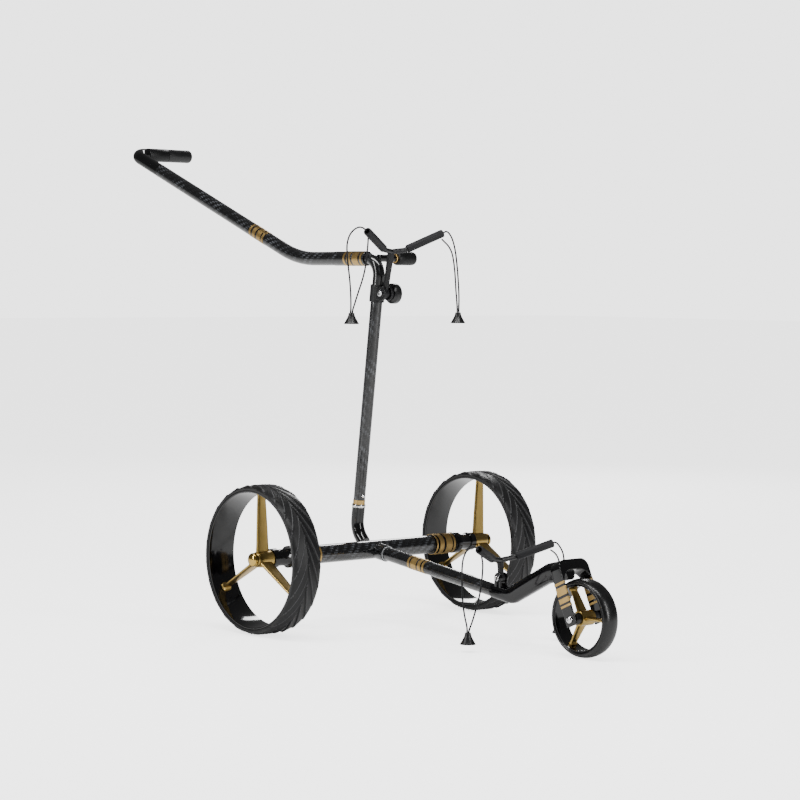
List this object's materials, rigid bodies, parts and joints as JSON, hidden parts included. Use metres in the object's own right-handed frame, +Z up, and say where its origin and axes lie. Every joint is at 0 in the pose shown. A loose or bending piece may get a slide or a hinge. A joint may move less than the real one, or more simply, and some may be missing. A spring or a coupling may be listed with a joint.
{
  "type": "electric golf trolley",
  "caption": "Light electric golf trolley: powered axle with spoked wheels, front wheel, leaning shaft, bag brackets with elastic cords and a long handle with a side grip.",
  "frame": {"origin": "middle of the base, on the ground, halfway between the back of the grip and the front of the front tyre", "axes": "+X to the trolley's right, +Y forward towards the front wheel, +Z up"},
  "size_m": [0.6292, 1.5208, 0.9749],
  "materials": {
    "carbon_tube": "clear lacquer over carbon twill",
    "gloss_lacquer": "gloss",
    "gold_anodised": "satin anodised",
    "polished_steel": "polished",
    "machined_steel": "machined",
    "tyre_rubber": "matt moulded",
    "grip_rubber": "matt moulded",
    "sleeve_rubber": "matt moulded",
    "bracket_plastic": "satin moulded",
    "knob_plastic": "fine texture",
    "cord_fabric": "woven cover",
    "circuit_board": "solder mask"
  },
  "bodies": {
    "chassis": {"axle_tube": "carbon_tube", "front_collar": "polished_steel", "shaft_socket": "gloss_lacquer", "shaft_collar": "polished_steel", "controller_board": "circuit_board", "right_axle_sleeve": "gloss_lacquer", "right_axle_end": "gloss_lacquer", "right_axle_bearing": "machined_steel", "right_motor_case": "machined_steel", "right_gearbox": "machined_steel", "left_axle_sleeve": "gloss_lacquer", "left_axle_end": "gloss_lacquer", "left_axle_bearing": "machined_steel", "left_motor_case": "machined_steel", "left_gearbox": "machined_steel"},
    "right_rotor": {"right_motor_rotor": "machined_steel"},
    "right_drive": {"right_drive_shaft": "machined_steel"},
    "right_wheel": {"right_tyre": "tyre_rubber", "right_rim": "gloss_lacquer", "right_wheel_hub": "gold_anodised"},
    "right_release": {"right_release_button": "gold_anodised"},
    "left_rotor": {"left_motor_rotor": "machined_steel"},
    "left_drive": {"left_drive_shaft": "machined_steel"},
    "left_wheel": {"left_tyre": "tyre_rubber", "left_rim": "gloss_lacquer", "left_wheel_hub": "gold_anodised"},
    "left_release": {"left_release_button": "gold_anodised"},
    "front_frame": {"front_tube": "carbon_tube", "front_beam": "gloss_lacquer", "front_fork": "gloss_lacquer", "front_axle_bolt": "polished_steel", "lower_bracket_bolt": "polished_steel"},
    "front_wheel": {"front_tyre": "tyre_rubber", "front_rim": "gloss_lacquer", "front_wheel_hub": "gold_anodised"},
    "lower_bracket": {"lower_bag_bracket": "bracket_plastic", "lower_right_sleeve": "sleeve_rubber", "lower_right_cord": "cord_fabric", "lower_right_cone": "knob_plastic", "lower_left_sleeve": "sleeve_rubber", "lower_left_cord": "cord_fabric", "lower_left_cone": "knob_plastic"},
    "shaft": {"shaft_tube": "carbon_tube", "accessory_post": "grip_rubber", "upper_clamp": "bracket_plastic"},
    "snap_button": {"shaft_snap_button": "polished_steel"},
    "upper_bracket": {"upper_bag_bracket": "bracket_plastic", "upper_right_sleeve": "sleeve_rubber", "upper_right_cord": "cord_fabric", "upper_right_cone": "knob_plastic", "upper_left_sleeve": "sleeve_rubber", "upper_left_cord": "cord_fabric", "upper_left_cone": "knob_plastic"},
    "upper_knob": {"upper_clamp_knob": "knob_plastic"},
    "handle": {"handle_socket": "carbon_tube", "handle_tube": "carbon_tube", "handle_elbow": "gloss_lacquer", "grip": "grip_rubber"},
    "speed_dial": {"speed_knob": "knob_plastic"},
    "power_switch": {"power_button": "polished_steel"}
  },
  "joints": [
    {"name": "right_wheel_spin", "type": "hinge", "parent": "chassis", "child": "right_drive", "pos_m": [0, 0.0958, 0.145], "axis": [1, 0, 0], "continuous": true},
    {"name": "right_rotor_spin", "type": "hinge", "parent": "chassis", "child": "right_rotor", "pos_m": [0, 0.0958, 0.145], "axis": [1, 0, 0], "continuous": true},
    {"name": "right_wheel_pull", "type": "slide", "parent": "right_drive", "child": "right_wheel", "axis": [1, 0, 0], "range_m": [0, 0.045]},
    {"name": "right_release_press", "type": "slide", "parent": "right_wheel", "child": "right_release", "axis": [-1, 0, 0], "range_m": [0, 0.0025], "stiffness_N_per_m": 900, "springref_m": -0.003},
    {"name": "left_wheel_spin", "type": "hinge", "parent": "chassis", "child": "left_drive", "pos_m": [0, 0.0958, 0.145], "axis": [1, 0, 0], "continuous": true},
    {"name": "left_rotor_spin", "type": "hinge", "parent": "chassis", "child": "left_rotor", "pos_m": [0, 0.0958, 0.145], "axis": [1, 0, 0], "continuous": true},
    {"name": "left_wheel_pull", "type": "slide", "parent": "left_drive", "child": "left_wheel", "axis": [-1, 0, 0], "range_m": [0, 0.045]},
    {"name": "left_release_press", "type": "slide", "parent": "left_wheel", "child": "left_release", "axis": [1, 0, 0], "range_m": [0, 0.0025], "stiffness_N_per_m": 900, "springref_m": -0.003},
    {"name": "front_tube_slide", "type": "slide", "parent": "chassis", "child": "front_frame", "axis": [0, 0.9917, -0.1289], "range_m": [0, 0.06]},
    {"name": "front_wheel_spin", "type": "hinge", "parent": "front_frame", "child": "front_wheel", "pos_m": [0, 0.6877, 0.0727], "axis": [1, 0, 0], "continuous": true},
    {"name": "lower_bracket_fold", "type": "hinge", "parent": "front_frame", "child": "lower_bracket", "pos_m": [0, 0.4658, 0.124], "axis": [1, 0, 0], "range_deg": [-20, 20]},
    {"name": "shaft_slide", "type": "slide", "parent": "chassis", "child": "shaft", "axis": [0, 0.1222, 0.9925], "range_m": [0, 0.06]},
    {"name": "snap_button_press", "type": "slide", "parent": "shaft", "child": "snap_button", "axis": [0, -0.9925, 0.1222], "range_m": [0, 0.0022], "stiffness_N_per_m": 900, "springref_m": -0.003},
    {"name": "upper_bracket_tilt", "type": "hinge", "parent": "shaft", "child": "upper_bracket", "pos_m": [0, 0.123, 0.6566], "axis": [1, 0, 0], "range_deg": [-20, 12]},
    {"name": "upper_knob_turn", "type": "hinge", "parent": "shaft", "child": "upper_knob", "pos_m": [0, 0.123, 0.6566], "axis": [1, 0, 0], "range_deg": [0, 360]},
    {"name": "handle_slide", "type": "slide", "parent": "shaft", "child": "handle", "axis": [0, -1, 0], "range_m": [0, 0.1]},
    {"name": "speed_knob_turn", "type": "hinge", "parent": "handle", "child": "speed_dial", "pos_m": [0, -0.7457, 0.9602], "axis": [-1, 0, 0], "range_deg": [0, 270]},
    {"name": "power_button_press", "type": "slide", "parent": "speed_dial", "child": "power_switch", "axis": [1, 0, 0], "range_m": [0, 0.0015], "stiffness_N_per_m": 900, "springref_m": -0.002}
  ],
  "couplings": [
    {"joint": "right_rotor_spin", "follows": "right_wheel_spin", "ratio": 16},
    {"joint": "left_rotor_spin", "follows": "left_wheel_spin", "ratio": 16}
  ]
}
